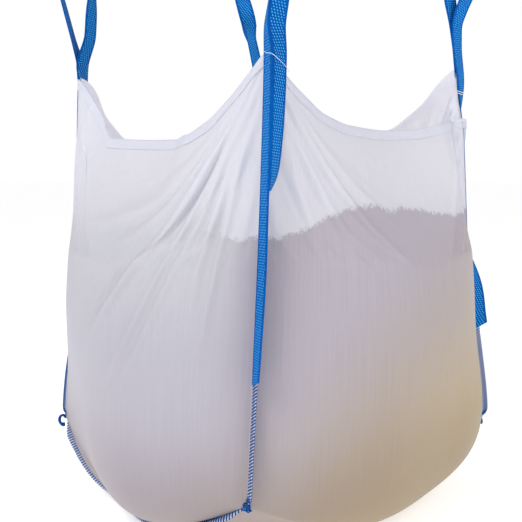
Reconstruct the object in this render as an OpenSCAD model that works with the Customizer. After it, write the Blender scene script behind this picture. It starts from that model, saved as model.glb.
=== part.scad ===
// Open-topped bulk bag of woven polypropylene, filled with sand and hung by four corner loops.
// A U-shaped panel makes the left wall, the floor and the right wall. Two more panels are sewn into it.
// +Z is up, -Y is the front, the origin is the middle of the floor's flat underside. Millimetres.

/* [Cloth] */
// Flat width of each wall between its seams
panel_w = 900; // [700:10:1100]
// Height of a corner seam, from the floor corner to the hem
seam_h = 960; // [700:10:1200]
// Distance from the bag's axis to a top corner
mouth_r = 522; // [400:2:560]
// Thickness of the woven cloth
cloth_t = 0.6; // [0.5:0.1:1]
// Width of the doubled cloth that stands out along a corner seam
fin_w = 28; // [20:1:35]

/* [Sag] */
// How far the middle of a hem hangs below the top corners
hem_sag = 165; // [60:1:220]
// How far the middle of a bottom seam hangs below the floor corners
seam_sag = 145; // [40:1:160]
// How far the floor hangs below the middle of a bottom seam
belly = 25; // [15:1:80]
// Share of the floor's width that lies flat
rest_share = 0.5; // [0.3:0.1:0.6]

/* [Fill] */
// Height of the sand at the cloth, above the floor corners
fill_h = 575; // [300:5:640]
// How much higher the sand heaps up in the middle
heap_h = 45; // [10:5:60]

/* [Webbing] */
// Width of the lifting webbing
web_w = 50; // [40:1:60]
// Thickness of the lifting webbing
web_t = 2.2; // [1.8:0.1:2.4]
// Length of the longer sewn leg
long_leg_h = 690; // [400:10:800]
// Length of the shorter sewn leg
short_leg_h = 290; // [200:10:380]
// Length of the doubled neck above the hem
neck_h = 80; // [60:5:120]
// Radius of the bar that a loop hangs on
eye_r = 50; // [35:1:60]
// Angle that each side of the open loop leans out by
eye_lean = 15.7; // [12:0.1:20]
// Angle that the rear-left loop leans counterclockwise at rest; the others stand upright
rear_left_lean = 16; // [0:1:25]

/* [Hidden] */

// Directions from the bag's axis, counterclockwise from +X: the walls, and the corners between them
RIGHT = 0;
REAR = 90;
LEFT = 180;
FRONT = 270;
FRONT_RIGHT = -45;
REAR_RIGHT = 45;
REAR_LEFT = 135;
FRONT_LEFT = 225;

WHITE = [0.88, 0.88, 0.90];
SAND = [0.66, 0.56, 0.42];
BLUE = [0.08, 0.38, 0.72];
DARK_BLUE = [0.06, 0.22, 0.50];

body_r = 4 * panel_w / (2 * PI);      // four walls pushed out to a circle
corner_z = seam_sag + belly;          // height of the floor corners
top_z = corner_z + seam_h;            // height of the top corners
bottom_mid_r = 0.79 * body_r;         // the bottom seams' middles are pulled in
hem_mid_r = 0.885 * mouth_r;          // the hems' middles are pulled in
belly_share = 0.24;                   // share of a wall's height that rounds under
seam_gap = 0.1;                       // between the two cloths of a seam
fin_off = seam_gap / 2 + cloth_t;     // a seam cloth's outer face, from the seam plane
fin_tip = 1.5;                        // width left of a fin at its lower end
fin_full_v = 0.03;                    // share of the seam's height where a fin reaches its full width
skirt_w = 14;                         // width of the floor's edge beyond the bottom seam
skirt_dip = 35;                       // angle that this edge points down by
seam_lift = cloth_t + 0.3;            // front and rear cloths sit this far above the floor's edge
cloth_gap = 4;                        // sand stays this far inside the cloth's outer face
hem_lines = [17, 26];                 // the two hem threads, below the hem's edge
cols = 16;                            // cells across a wall
rows = 15;                            // cells up a wall, below the hem
row_growth = 1.6;                     // rows are closer together near the floor
layer_gap = 0.15;                     // air between parts that lie on each other
leg_in = 2;                           // gap from the cloth's corner to the webbing
hinge_gap = 5;                        // from the top of the sewn legs to the first bend
thread_w = 1.6;
thread_t = 0.5;
arc_fn = 96;

// ---- Walls: s runs from -1 to 1 between two corners, and v from 0 at the floor to 1 at the hem ----

function ease(x) = let (y = min(max(x, 0), 1)) y * y * (3 - 2 * y);
function corner_r(v) = body_r - (body_r - mouth_r) * pow(v, 1.3);
function bulge(v) = v < belly_share ? sqrt(1 - pow(1 - v / belly_share, 2)) : 1;
function gather(v) = pow(max(0, v - belly_share) / (1 - belly_share), 2.2);
function mid_r(v) = bottom_mid_r + (body_r - bottom_mid_r) * bulge(v) - (body_r - hem_mid_r) * gather(v);
function wall_r(s, v) = mid_r(v) + (corner_r(v) - mid_r(v)) * s * s;
function bottom_z(s) = corner_z - seam_sag * (1 - s * s);
function hem_z(s) = top_z - hem_sag * (1 - s * s);
function wall_z(s, v) = bottom_z(s) + (hem_z(s) - bottom_z(s)) * v;
function polar(r, a, z) = [r * cos(a), r * sin(a), z];
function wall_point(side, s, v) = polar(wall_r(s, v), side + 45 * s, wall_z(s, v));

// A point on a corner seam: out from the cloth's corner, and off the seam plane, counterclockwise
function fin_point(corner, v, out, off) =
    polar(corner_r(v) + out, corner, corner_z + seam_h * v) + off * [-sin(corner), cos(corner), 0];
function fin_out(v) = fin_tip + (fin_w - fin_tip) * ease(v / fin_full_v);

// The floor: p and q run from -1 to 1 towards the right and the rear
function floor_height(m, edge_z) = edge_z * pow(max(0, m - rest_share) / (1 - rest_share), 2);
function floor_ray(m, side, s) =
    polar(m * wall_r(s, 0), side + 45 * s, floor_height(m, bottom_z(s)));
function floor_point(p, q) =
    p == 0 && q == 0 ? [0, 0, 0] :
    abs(p) >= abs(q) ? floor_ray(abs(p), p > 0 ? 0 : 180, q / p) :
    floor_ray(abs(q), q > 0 ? 90 : 270, -p / q);

v_hem = [for (line = [hem_lines[1], hem_lines[0], 0]) 1 - line / (seam_h - hem_sag + seam_sag)];
v_rows = concat([for (k = [0:rows - 1]) v_hem[0] * pow(k / rows, row_growth)], v_hem);
s_cols = [for (k = [0:cols]) -1 + 2 * k / cols];

// ---- Grids of points to closed solids ----

function unit(a) = a / norm(a);
function row_at(grid, i) = grid[min(max(i, 0), len(grid) - 1)];
function normal_at(grid, i, j, wrap) =
    let (
        n = len(grid[0]),
        before = wrap ? (j + n - 1) % n : max(j - 1, 0),
        after = wrap ? (j + 1) % n : min(j + 1, n - 1)
    )
    unit(cross(grid[i][after] - grid[i][before], row_at(grid, i + 1)[j] - row_at(grid, i - 1)[j]));
function lowered(grid, depth, wrap = false) = [
    for (i = [0:len(grid) - 1]) [
        for (j = [0:len(grid[0]) - 1]) grid[i][j] - depth * normal_at(grid, i, j, wrap)
    ]
];
function flat_list(grid) = [for (row = grid, point = row) point];
function quad(a, b, c, d) = [[a, b, c], [a, c, d]];

// A sheet of cloth: the grid is its outer face, and t is its thickness
module sheet(grid, t) {
    n = len(grid[0]);
    m = len(grid);
    under = n * m;
    top_faces = [
        for (i = [0:m - 2], j = [0:n - 2])
            each quad(i * n + j, (i + 1) * n + j, (i + 1) * n + j + 1, i * n + j + 1)
    ];
    under_faces = [for (f = top_faces) [f[2] + under, f[1] + under, f[0] + under]];
    rim = concat(
        [for (j = [0:n - 2]) j],
        [for (i = [0:m - 2]) i * n + n - 1],
        [for (j = [n - 1:-1:1]) (m - 1) * n + j],
        [for (i = [m - 1:-1:1]) i * n]
    );
    rim_faces = [
        for (k = [0:len(rim) - 1])
            let (a = rim[k], b = rim[(k + 1) % len(rim)]) each quad(a, b, b + under, a + under)
    ];
    polyhedron(
        concat(flat_list(grid), flat_list(lowered(grid, t))),
        concat(top_faces, under_faces, rim_faces)
    );
}

// A solid made of closed rings, with one point at each end
module ring_solid(rings, first, last) {
    n = len(rings[0]);
    m = len(rings);
    top = n * m + 1;
    sides = [
        for (i = [0:m - 2], j = [0:n - 1])
            let (a = 1 + i * n + j, b = 1 + i * n + (j + 1) % n) each quad(a, a + n, b + n, b)
    ];
    first_fan = [for (j = [0:n - 1]) [0, 1 + j, 1 + (j + 1) % n]];
    last_fan = [for (j = [0:n - 1]) [top, 1 + (m - 1) * n + (j + 1) % n, 1 + (m - 1) * n + j]];
    polyhedron(concat([first], flat_list(rings), [last]), concat(sides, first_fan, last_fan));
}

// ---- Cloth panels ----

// One row of a wall, with the seam fins at both ends. Raise lifts it off the floor's edge
function wall_row(side, v, raise) =
    let (
        first = side - 45,
        last = side + 45,
        lift = [0, 0, raise * pow(1 - v, 6)],
        body = [for (k = [1:cols - 1]) wall_point(side, s_cols[k], v) + lift]
    )
    concat(
        [fin_point(first, v, fin_out(v), fin_off) + lift, fin_point(first, v, 0, fin_off) + lift],
        body,
        [fin_point(last, v, 0, -fin_off) + lift, fin_point(last, v, fin_out(v), -fin_off) + lift]
    );

// The direction, outwards and down, of the floor's edge beside a point
function dipped(point) =
    let (a = atan2(point.y, point.x))
    [cos(a) * cos(skirt_dip), sin(a) * cos(skirt_dip), -sin(skirt_dip)];
function skirt_point(p, q) =
    floor_point(p, q) + skirt_w * ease((1 - abs(p)) / 0.25) * dipped(floor_point(p, q));

function floor_row(p) = concat(
    [skirt_point(p, -1)], [for (q = s_cols) floor_point(p, q)], [skirt_point(p, 1)]
);

module sewn_panel(side) {
    color(WHITE) sheet([for (v = v_rows) wall_row(side, v, seam_lift)], cloth_t);
}

module u_panel() {
    down = [for (k = [len(v_rows) - 1:-1:0]) [
        for (j = [cols + 2:-1:0]) wall_row(180, v_rows[k], 0)[j]
    ]];
    across = [for (k = [1:cols - 1]) floor_row(s_cols[k])];
    up = [for (v = v_rows) wall_row(0, v, 0)];
    color(WHITE) sheet(concat(down, across, up), cloth_t);
}

// ---- Sand ----

fill_z = corner_z + fill_h;
function fill_v(s) = (fill_z - bottom_z(s)) / (hem_z(s) - bottom_z(s));
function around(f) = [for (side = [0:90:270], k = [0:cols - 1]) [side, s_cols[k], f]];

module sand_fill() {
    floor_rings = 8;
    wall_rings = 12;
    cap_rings = 5;
    skin = concat(
        [for (i = [1:floor_rings]) [for (c = around(i / floor_rings)) floor_ray(c[2], c[0], c[1])]],
        [for (i = [1:wall_rings]) [
            for (c = around(pow(i / wall_rings, row_growth))) wall_point(c[0], c[1], c[2] * fill_v(c[1]))
        ]]
    );
    inside = lowered(skin, cloth_gap, true);
    edge = inside[len(inside) - 1];
    cap = [for (i = [cap_rings - 1:-1:1]) [
        for (point = edge)
            let (m = i / cap_rings) [m * point.x, m * point.y, point.z + heap_h * (1 - m * m)]
    ]];
    color(SAND) ring_solid(concat(inside, cap), [0, 0, cloth_gap], [0, 0, fill_z + heap_h]);
}

// ---- Webbing ----

// Draws a flat shape, with x out from the axis and y up, in a corner's seam plane, from off to off + t
module in_seam_plane(corner, off, t) {
    rotate([90, 0, corner]) translate([0, 0, -off - t]) linear_extrude(t) children();
}

// A strip beside the corner seam, from out to out + w, between two heights on the seam
module seam_strip(out, w, v_low, v_high) {
    steps = 14;
    v = [for (k = [0:steps]) v_low + (v_high - v_low) * k / steps];
    inner = [for (x = v) [corner_r(x) + out, corner_z + seam_h * x]];
    outer = [for (k = [steps:-1:0]) [inner[k].x + w, inner[k].y]];
    polygon(concat(inner, outer));
}

leg_off = fin_off + layer_gap;        // a leg's inner face, from the seam plane
function leg_low(length) = 1 - length / seam_h;

// The long leg lies on the clockwise side of the seam, and the short leg on the other
module long_leg(corner) {
    color(BLUE) in_seam_plane(corner, -leg_off - web_t, web_t)
        seam_strip(leg_in, web_w, leg_low(long_leg_h), 1);
}

module short_leg(corner) {
    color(BLUE) in_seam_plane(corner, leg_off, web_t) seam_strip(leg_in, web_w, leg_low(short_leg_h), 1);
}

module leg_stitching(corner) {
    inset = 7;
    end = 0.02;
    color(WHITE) for (out = [leg_in + inset, leg_in + web_w - inset - thread_w]) {
        in_seam_plane(corner, leg_off + web_t + layer_gap, thread_t)
            seam_strip(out, thread_w, leg_low(short_leg_h) + end, 1 - end);
        in_seam_plane(corner, -leg_off - web_t - layer_gap - thread_t, thread_t)
            seam_strip(out, thread_w, leg_low(long_leg_h) + end, 1 - end);
    }
}

// The webbing's middle at the hem, where the neck starts
module at_hem(corner) {
    lean = corner == REAR_LEFT ? rear_left_lean : 0;
    rotate(corner) translate([mouth_r + leg_in + web_w / 2, 0, top_z + hinge_gap])
        rotate([-lean, 0, 0]) children();
}

ply_y = (web_t + 0.4) / 2;            // each ply's middle, from the neck's middle
roll_r = ply_y + web_t / 2;

// A quarter turn takes the neck's width from the seam plane to across it
module quarter_twist(h) {
    linear_extrude(h, twist = -90, slices = 12) children();
}

module loop_neck(corner) {
    color(BLUE) at_hem(corner) {
        rotate([0, 90, 0]) cylinder(r = roll_r, h = web_w, center = true, $fn = arc_fn);
        quarter_twist(neck_h) square([web_w, 2 * roll_r], center = true);
    }
}

module neck_stitching(corner) {
    start = 14;
    color(WHITE) at_hem(corner) for (turn = [-1, 1])
        intersection() {
            quarter_twist(neck_h)
                translate([0, turn * (roll_r + layer_gap + thread_t)])
                    square([thread_w, thread_t], center = true);
            translate([-web_w, -web_w, start]) cube([2 * web_w, 2 * web_w, neck_h - 2 * start]);
        }
}

eye_rise = (eye_r + web_t) / sin(eye_lean);   // from the second bend to the middle of the bar
ply_h = (eye_r + web_t) / tan(eye_lean);      // length of the straight webbing on each side

// The webbing passes over the bar and comes down on both sides to one rolled end.
// Each straight ply is a shade thinner than the bend, and its end is sunk into it
module loop_eye(corner) {
    inset = 0.05;
    sunk = 1.5;
    color(BLUE) at_hem(corner) translate([0, 0, neck_h + hinge_gap]) rotate([90, 0, 0]) {
        translate([0, eye_rise]) rotate(-eye_lean)
            rotate_extrude(angle = 180 + 2 * eye_lean, $fn = arc_fn)
                translate([eye_r, -web_w / 2]) square([web_t, web_w]);
        for (turn = [0, 1])
            mirror([turn, 0, 0]) translate([0, eye_rise]) rotate(-eye_lean)
                translate([eye_r + inset, -ply_h, inset - web_w / 2])
                    cube([web_t - 2 * inset, ply_h + sunk, web_w - 2 * inset]);
        cylinder(r = roll_r, h = web_w, center = true, $fn = arc_fn);
    }
}

// ---- Threads and cords ----

module corner_overlock(corner) {
    bead_w = 2.6;
    bead_t = 1.3;
    color(BLUE) in_seam_plane(corner, -bead_t / 2, bead_t)
        seam_strip(fin_w + layer_gap, bead_w, fin_full_v, 0.985);
}

// Runs along the outer edge of the floor's skirt
module bottom_overlock(side) {
    bead = 2.4;
    q = side == FRONT ? -1 : 1;
    across = [for (k = [1:cols - 1]) -q * s_cols[k]];
    color(BLUE) sheet([
        for (out = [layer_gap, layer_gap + bead])
            [for (p = across) skirt_point(p, q) + out * dipped(skirt_point(p, q))]
    ], cloth_t + 0.4);
}

// Two threads laid on the outer face of a wall, along its hem
module hem_thread(side) {
    ends = 1;
    grid = [for (v = v_rows) [for (k = [0:cols]) wall_point(side, s_cols[k], v)]];
    raised = lowered(grid, -3 * layer_gap - thread_t);
    color(WHITE) for (row = [rows, rows + 1])
        sheet([
            for (dz = [-thread_w, thread_w] / 2)
                [for (k = [ends:cols - ends]) raised[row][k] + [0, 0, dz]]
        ], thread_t);
}

// A cord that passes round the outside of both legs and into the cloth beside them
module tie_cord(corner, heights) {
    cord = 1.6;
    reach = leg_off + web_t + thread_t + 2 * layer_gap;   // clear of the legs' stitches
    out_r = leg_in + web_w + layer_gap;
    color(WHITE) for (v = heights)
        rotate(corner) translate([corner_r(v), 0, corner_z + seam_h * v]) difference() {
            translate([leg_in + web_w / 2, -reach - cord, 0])
                cube([web_w / 2 + layer_gap + cord, 2 * (reach + cord), cord]);
            translate([0, -reach, -cord]) cube([out_r, 2 * reach, 3 * cord]);
        }
}

// The loose end of an overlock chain, curled below the floor corner
module thread_tail(corner, curl_r, sweep) {
    cord_r = 1.3;
    start_r = body_r + fin_tip + 4;
    color(DARK_BLUE) rotate(corner) translate([start_r + curl_r, 0, corner_z - 4])
        rotate([90, 0, 0]) rotate(180) rotate_extrude(angle = sweep, $fn = arc_fn)
            translate([curl_r, 0]) circle(cord_r, $fn = 24);
}

// ---- Nodes ----

u_panel();
sewn_panel(FRONT);  // front_panel
sewn_panel(REAR);  // rear_panel
sand_fill();
long_leg(FRONT_RIGHT);  // long_leg_front_right
long_leg(REAR_RIGHT);  // long_leg_rear_right
long_leg(REAR_LEFT);  // long_leg_rear_left
long_leg(FRONT_LEFT);  // long_leg_front_left
short_leg(FRONT_RIGHT);  // short_leg_front_right
short_leg(REAR_RIGHT);  // short_leg_rear_right
short_leg(REAR_LEFT);  // short_leg_rear_left
short_leg(FRONT_LEFT);  // short_leg_front_left
loop_neck(FRONT_RIGHT);  // loop_neck_front_right
loop_neck(REAR_RIGHT);  // loop_neck_rear_right
loop_neck(REAR_LEFT);  // loop_neck_rear_left
loop_neck(FRONT_LEFT);  // loop_neck_front_left
loop_eye(FRONT_RIGHT);  // loop_eye_front_right
loop_eye(REAR_RIGHT);  // loop_eye_rear_right
loop_eye(REAR_LEFT);  // loop_eye_rear_left
loop_eye(FRONT_LEFT);  // loop_eye_front_left
corner_overlock(FRONT_RIGHT);  // corner_overlock_front_right
corner_overlock(REAR_RIGHT);  // corner_overlock_rear_right
corner_overlock(REAR_LEFT);  // corner_overlock_rear_left
corner_overlock(FRONT_LEFT);  // corner_overlock_front_left
bottom_overlock(FRONT);  // bottom_overlock_front
bottom_overlock(REAR);  // bottom_overlock_rear
hem_thread(FRONT);  // hem_thread_front
hem_thread(RIGHT);  // hem_thread_right
hem_thread(REAR);  // hem_thread_rear
hem_thread(LEFT);  // hem_thread_left
leg_stitching(FRONT_RIGHT);  // leg_stitching_front_right
leg_stitching(REAR_RIGHT);  // leg_stitching_rear_right
leg_stitching(REAR_LEFT);  // leg_stitching_rear_left
leg_stitching(FRONT_LEFT);  // leg_stitching_front_left
neck_stitching(FRONT_RIGHT);  // neck_stitching_front_right
neck_stitching(REAR_RIGHT);  // neck_stitching_rear_right
neck_stitching(REAR_LEFT);  // neck_stitching_rear_left
neck_stitching(FRONT_LEFT);  // neck_stitching_front_left
tie_cord(FRONT_RIGHT, [0.975]);  // tie_cord_front_right
tie_cord(REAR_RIGHT, [0.87, 0.95]);  // tie_cord_rear_right
thread_tail(FRONT_LEFT, 12, 200);  // thread_tail_front_left
thread_tail(REAR_RIGHT, 9, 110);  // thread_tail_rear_right
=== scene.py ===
import math

import bpy
import numpy as np
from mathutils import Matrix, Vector

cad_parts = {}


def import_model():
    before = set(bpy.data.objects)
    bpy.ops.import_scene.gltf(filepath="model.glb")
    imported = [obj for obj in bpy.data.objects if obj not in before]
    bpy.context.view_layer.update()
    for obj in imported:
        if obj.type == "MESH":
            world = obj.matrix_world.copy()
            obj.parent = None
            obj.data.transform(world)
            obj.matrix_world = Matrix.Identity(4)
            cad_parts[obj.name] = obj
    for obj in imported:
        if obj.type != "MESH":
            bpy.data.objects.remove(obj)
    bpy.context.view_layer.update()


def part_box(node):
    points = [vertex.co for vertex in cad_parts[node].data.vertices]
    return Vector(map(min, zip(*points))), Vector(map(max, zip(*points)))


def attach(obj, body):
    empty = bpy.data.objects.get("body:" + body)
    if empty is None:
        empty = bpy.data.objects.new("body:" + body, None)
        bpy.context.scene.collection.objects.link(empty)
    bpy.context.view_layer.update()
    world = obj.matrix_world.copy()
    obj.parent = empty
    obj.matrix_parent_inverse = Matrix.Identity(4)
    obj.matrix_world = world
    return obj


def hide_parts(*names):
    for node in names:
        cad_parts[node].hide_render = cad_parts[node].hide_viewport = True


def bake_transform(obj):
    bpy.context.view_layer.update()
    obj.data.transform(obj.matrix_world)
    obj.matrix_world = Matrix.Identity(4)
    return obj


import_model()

# The bulk bag's looks: cloth draped over its sand, webbing loops, seams and threads, all in metres.
# The walls are named by their direction from the bag's axis, in degrees counterclockwise from +X.
RIGHT, REAR, LEFT, FRONT = 0, 90, 180, 270
CORNERS = {"front_right": -45, "rear_right": 45, "rear_left": 135, "front_left": 225}
FAR_LEFT = "front_left"

# ---- Sizes, the same as the CAD model's ----
PANEL_W = 0.9
TOP_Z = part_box("long_leg_front_right")[1].z
LONG_LEG = TOP_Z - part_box("long_leg_front_right")[0].z
SHORT_LEG = TOP_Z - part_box("short_leg_front_right")[0].z
SEAM_H = 0.96
CORNER_Z = TOP_Z - SEAM_H
SEAM_SAG = 0.145
HEM_SAG = 0.165
MOUTH_R = 0.522
BODY_R = 4 * PANEL_W / (2 * math.pi)
BOTTOM_MID_R = 0.79 * BODY_R
HEM_MID_R = 0.885 * MOUTH_R
BELLY_SHARE = 0.24
REST_SHARE = 0.5
FIN_W = 0.028
FILL_Z = CORNER_Z + 0.575
HEAP_H = 0.045
WEB_W = 0.05
WEB_T = 0.0022
HINGE_GAP = 0.005
LEG_IN = 0.002
LOOP_LEAN = {"rear_left": math.radians(16)}
BAR_R = 0.0511                              # from the middle of the bar to the middle of the webbing
BAR_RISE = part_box("loop_eye_front_right")[1].z - TOP_Z - WEB_T / 2 - BAR_R

# ---- How this bag hangs: the CAD model's corners are all alike, and the real ones are not ----

# Angle that each seam's fin is laid over by, counterclockwise, at heights up the seam from 0 to 1
LAY = {
    "front_right": ((0, 16), (0.12, 15), (0.3, 18), (0.5, 24), (0.7, 22), (1, 20)),
    "rear_right": ((0, 42), (0.12, 32), (0.25, 12), (0.38, 18), (0.56, 103), (0.86, 103), (0.96, 56),
                   (1, 54)),
    "rear_left": ((0, 10), (0.6, 30), (1, 48)),
    "front_left": ((0, -56), (0.15, -62), (0.22, -75), (0.5, -95), (1, -102)),
}
# How far each seam hangs to the counterclockwise side of its corner, at the floor and at the hem
SWING = {"front_right": (-0.049, -0.012), "rear_left": (0.0, 0.035)}
# How far a seam is drawn in towards the axis, at the floor and at the hem
DRAWN_IN = {"rear_right": (-0.034, 0.014), "front_left": (-0.027, -0.003)}
# How far a seam's lower end hangs below the others
LOWERED = {"front_right": 0.017}
# Directions in which the foot of a wall is tucked in: how far, and over how many degrees to each side
TUCKED = {4: (0.035, 33), -115: (0.038, 34)}
# Directions in which the bottom seam stands out: how far outwards, how far down, and over how many degrees
STANDS_OUT = {-116: (0.023, 0.008, 19)}


def ease(x, low=0.0, high=1.0):
    y = np.clip((np.asarray(x, float) - low) / (high - low), 0, 1)
    return y * y * (3 - 2 * y)


def glide(x, stations, width):
    """Straight lines between stations, with their corners rounded over a width."""
    xs, ys = np.asarray(stations, float).T
    x = np.asarray(x, float)
    return np.mean([np.interp(x + k, xs, ys) for k in np.linspace(-width, width, 9)], axis=0)


def unit(a):
    return a / np.maximum(np.linalg.norm(a, axis=-1, keepdims=True), 1e-12)


def radial(corner, turn=0.0):
    """Direction out from the axis at a corner, turned counterclockwise by turn degrees."""
    a = np.radians(corner + np.asarray(turn, float))
    return np.stack([np.cos(a), np.sin(a), np.zeros_like(a)], -1)


def corner_r(v):
    return BODY_R - (BODY_R - MOUTH_R) * np.power(v, 1.3)


def mid_r(v):
    under = np.clip(1 - (1 - v / BELLY_SHARE) ** 2, 0, 1)
    bulge = np.where(v < BELLY_SHARE, np.sqrt(under), 1.0)
    gather = np.clip((v - BELLY_SHARE) / (1 - BELLY_SHARE), 0, 1) ** 2.2
    return BOTTOM_MID_R + (BODY_R - BOTTOM_MID_R) * bulge - (BODY_R - HEM_MID_R) * gather


def wall_points(side, s, v):
    """Points of a filled wall: s from -1 to 1 between its corners, v from 0 at the floor to 1 at the hem."""
    s, v = np.broadcast_arrays(s, v)
    r = mid_r(v) + (corner_r(v) - mid_r(v)) * s * s
    low = CORNER_Z - SEAM_SAG * (1 - s * s)
    high = TOP_Z - HEM_SAG * (1 - s * s)
    a = np.radians(side + 45 * s)
    return np.stack([r * np.cos(a), r * np.sin(a), low + (high - low) * v], -1)


def floor_points(p, q):
    """Points of the floor: p and q run from -1 to 1 towards the right and the rear."""
    p, q = np.broadcast_arrays(p, q)
    m = np.maximum(abs(p), abs(q))
    safe = np.where(m == 0, 1, m)
    along = abs(p) >= abs(q)
    side = np.where(along, np.where(p > 0, 0, 180), np.where(q > 0, 90, 270))
    s = np.where(along, np.where(p > 0, q, -q), np.where(q > 0, -p, p)) / safe
    edge = wall_points(side, s, np.zeros_like(m, dtype=float))
    rise = (np.clip(m - REST_SHARE, 0, 1) / (1 - REST_SHARE)) ** 2
    return np.stack([edge[..., 0] * m, edge[..., 1] * m, edge[..., 2] * rise], -1)


def hung(points):
    """Moves points of the bag by how its corners and the feet of its walls hang."""
    x, y, z = np.moveaxis(np.asarray(points, float), -1, 0)
    a, r = np.degrees(np.arctan2(y, x)), np.hypot(x, y)
    v = np.clip((z - CORNER_Z) / SEAM_H, 0, 1)
    s = ((a + 45) % 90 - 45) / 45
    over_seam = np.clip(z - CORNER_Z + SEAM_SAG * (1 - s * s), 0, None)
    near = ease(r / BODY_R, 0.2, 1)
    turn, out, down = np.zeros_like(a), np.zeros_like(a), np.zeros_like(a)

    def share(side, width):
        """1 in a direction, and 0 beyond width degrees from it."""
        return ease(1 - abs((a - side + 180) % 360 - 180) / width)

    for place, (low, high) in SWING.items():
        turn += share(CORNERS[place], 45) * (high + (low - high) * (1 - v) ** 1.3) / BODY_R
    for place, (low, high) in DRAWN_IN.items():
        out -= share(CORNERS[place], 20) * high * ease(v, 0.82, 1)
        out -= share(CORNERS[place], 35) * low * (1 - ease(v, 0, 0.35)) * near
    for place, drop in LOWERED.items():
        down += share(CORNERS[place], 40) * drop * (1 - ease(v, 0, 0.5)) * near
    for side, (reach, width) in TUCKED.items():
        out -= share(side, width) * reach * (1 - ease(v, 0, 0.41)) * near
    for side, (reach, drop, width) in STANDS_OUT.items():
        out += share(side, width) * reach * (1 - ease(over_seam, 0, 0.03)) * near
        down += share(side, width) * drop * (1 - ease(over_seam, 0, 0.09)) * near
    a, r = np.radians(a) + turn, r + out
    return np.stack([r * np.cos(a), r * np.sin(a), z - down], -1)


# ---- Mesh helpers ----

def mesh_object(name, points, faces, uvs=None, smooth=True):
    mesh = bpy.data.meshes.new(name)
    mesh.from_pydata(np.asarray(points, float).reshape(-1, 3).tolist(), [], faces)
    if smooth:
        mesh.polygons.foreach_set("use_smooth", [True] * len(mesh.polygons))
    if uvs is not None:
        layer = mesh.uv_layers.new(name="UVMap")
        loops = np.zeros(len(mesh.loops), np.int32)
        mesh.loops.foreach_get("vertex_index", loops)
        flat = np.asarray(uvs, np.float32).reshape(-1, 2)
        layer.data.foreach_set("uv", flat[loops].ravel())
    mesh.update()
    obj = bpy.data.objects.new(name, mesh)
    bpy.context.scene.collection.objects.link(obj)
    return obj


def grid_faces(rows, cols, start=0, closed=False):
    last = cols if closed else cols - 1

    def at(i, j):
        return start + i * cols + j % cols

    return [(at(i, j), at(i, j + 1), at(i + 1, j + 1), at(i + 1, j))
            for i in range(rows - 1) for j in range(last)]


def grid_normals(p):
    return unit(np.cross(np.gradient(p, axis=1), np.gradient(p, axis=0)))


def thicken(obj, t, offset=-1.0):
    mod = obj.modifiers.new("Thickness", "SOLIDIFY")
    mod.thickness = t
    mod.offset = offset
    mod.use_even_offset = False
    return obj


def tube(points, radius, sides=6):
    """Points and faces of a round thread along a path."""
    points = np.asarray(points, float)
    tangent = unit(np.gradient(points, axis=0))
    up = np.where(abs(tangent[:, 2:]) > 0.9, [[1.0, 0, 0]], [[0, 0, 1.0]])
    a = unit(np.cross(tangent, up))
    b = np.cross(tangent, a)
    turn = 2 * np.pi * np.arange(sides) / sides
    wide = a[:, None] * np.cos(turn)[None, :, None] + b[:, None] * np.sin(turn)[None, :, None]
    ring = points[:, None] + radius * wide
    faces = grid_faces(len(points), sides, closed=True)
    faces.append(tuple(range(sides))[::-1])
    faces.append(tuple((len(points) - 1) * sides + k for k in range(sides)))
    return ring.reshape(-1, 3), faces


def joined(parts):
    """Several (points, faces) lists as one."""
    points, faces, n = [], [], 0
    for p, f in parts:
        points.append(np.asarray(p).reshape(-1, 3))
        faces += [tuple(k + n for k in face) for face in f]
        n += len(points[-1])
    return np.concatenate(points), faces


def lengths(path):
    """Distance along a path to each of its points."""
    return np.concatenate([[0], np.cumsum(np.linalg.norm(np.diff(path, axis=0), axis=-1))])


def sampled(along, at, *rows):
    """Each list of 3-D rows, read at new distances along a path."""
    return [np.stack([np.interp(at, along, row[:, k]) for k in range(3)], -1) for row in rows]


def stitches(path, off, dash, gap, radius=0.0005):
    """A row of separate stitches along a path, each an arch whose ends dip into the cloth."""
    along = lengths(path)
    starts = np.arange(gap, along[-1] - dash, dash + gap)
    arch = np.linspace(0, 1, 5)
    lift = np.array([-1.2, 0.4, 0.7, 0.4, -1.2]) * radius
    parts = []
    for start in starts:
        p, o = sampled(along, start + arch * dash, path, off)
        parts.append(tube(p + o * lift[:, None], radius, 5))
    return joined(parts)


# ---- Materials ----

class Nodes:
    """A short way to write a material's node tree."""

    def __init__(self, name):
        self.material = bpy.data.materials.new(name)
        self.material.use_nodes = True
        self.tree = self.material.node_tree
        self.tree.nodes.clear()
        self.out = self.tree.nodes.new("ShaderNodeOutputMaterial")

    def add(self, kind, inputs=None, **settings):
        node = self.tree.nodes.new("ShaderNode" + kind)
        for key, value in settings.items():
            setattr(node, key, value)
        for key, value in (inputs or {}).items():
            self.put(node.inputs[key], value)
        return node

    def put(self, socket, value):
        if isinstance(value, bpy.types.NodeSocket):
            self.tree.links.new(value, socket)
        elif isinstance(value, bpy.types.Node):
            self.tree.links.new(value.outputs[0], socket)
        else:
            socket.default_value = value

    def math(self, operation, a, b=0.0, clamp=False):
        return self.add("Math", {0: a, 1: b}, operation=operation, use_clamp=clamp).outputs[0]

    def ramp(self, value, low, high):
        node = self.add("MapRange", {"Value": value, "From Min": low, "From Max": high},
                        interpolation_type="SMOOTHSTEP")
        return node.outputs[0]

    def mix(self, factor, a, b):
        node = self.add("Mix", data_type="RGBA")
        self.put(node.inputs["Factor"], factor)
        self.put(node.inputs["A"], a)
        self.put(node.inputs["B"], b)
        return node.outputs["Result"]

    def noise(self, vector, scale, detail=2.0, rough=0.5):
        node = self.add("TexNoise", {"Vector": vector, "Scale": scale, "Detail": detail, "Roughness": rough})
        return node.outputs["Fac"]

    def stretched(self, vector, x, y, z=1.0):
        return self.add("Mapping", {"Vector": vector, "Scale": (x, y, z)}).outputs[0]


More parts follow.
